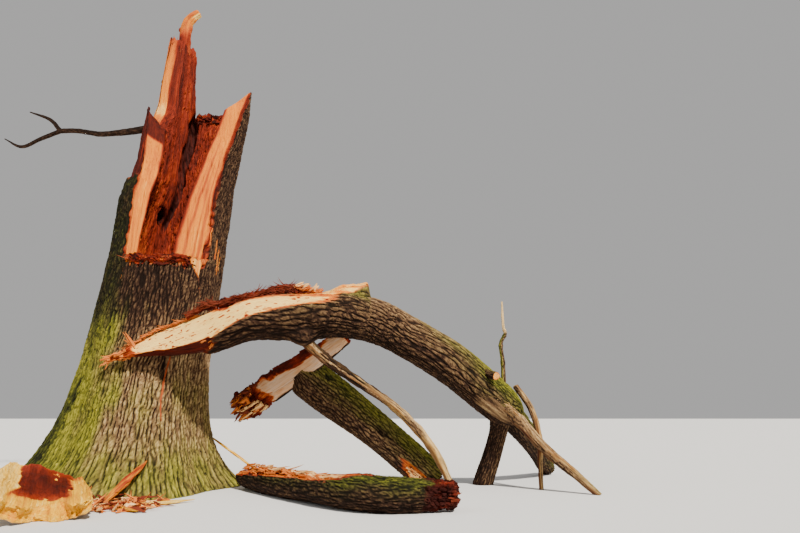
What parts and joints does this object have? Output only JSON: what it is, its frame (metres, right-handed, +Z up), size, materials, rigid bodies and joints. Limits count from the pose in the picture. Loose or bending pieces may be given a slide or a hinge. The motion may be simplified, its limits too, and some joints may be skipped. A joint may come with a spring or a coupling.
{
  "type": "dead tree",
  "caption": "Hollow broken trunk of a dead oak on its root flare, torn open at the front, with its fallen boughs leaning on it and lying at its foot.",
  "frame": {"origin": "centre of the flat cut under the trunk, at ground level", "axes": "+Z up; +X towards the far ends of the fallen boughs, right in the picture; +Y away from the camera, behind the trunk"},
  "size_m": [8.6224, 4.7945, 7.8168],
  "materials": {
    "bark": "rough grey-brown oak bark with deep furrows",
    "mossy_bark": "rough furrowed bark with thin green moss on its upper side",
    "torn_wood": "fresh torn wood, pale tan with long fibres",
    "bare_wood": "weathered bare wood without bark",
    "heartwood": "dark red rotten heartwood"
  },
  "bodies": {
    "root": {"trunk": "bark", "spire_tip": "torn_wood", "side_bough": "bark", "side_bough_upper": "bark", "side_bough_lower": "bark", "fallen_bough_butt": "torn_wood", "fallen_bough_stem": "mossy_bark", "fallen_bough_top": "mossy_bark", "fallen_bough_leg": "bark", "fallen_bough_pole": "bare_wood", "cut_stub": "mossy_bark", "upright_shoot": "mossy_bark", "dead_stick": "bare_wood", "prop_branch": "bare_wood", "second_slab": "torn_wood", "second_bough": "mossy_bark", "ground_log": "bark", "foot_slab": "heartwood", "loose_shard_front": "torn_wood", "loose_shard_left": "torn_wood", "loose_shard_pale": "torn_wood", "log_strip": "torn_wood", "leaning_splinter": "torn_wood"}
  },
  "joints": []
}
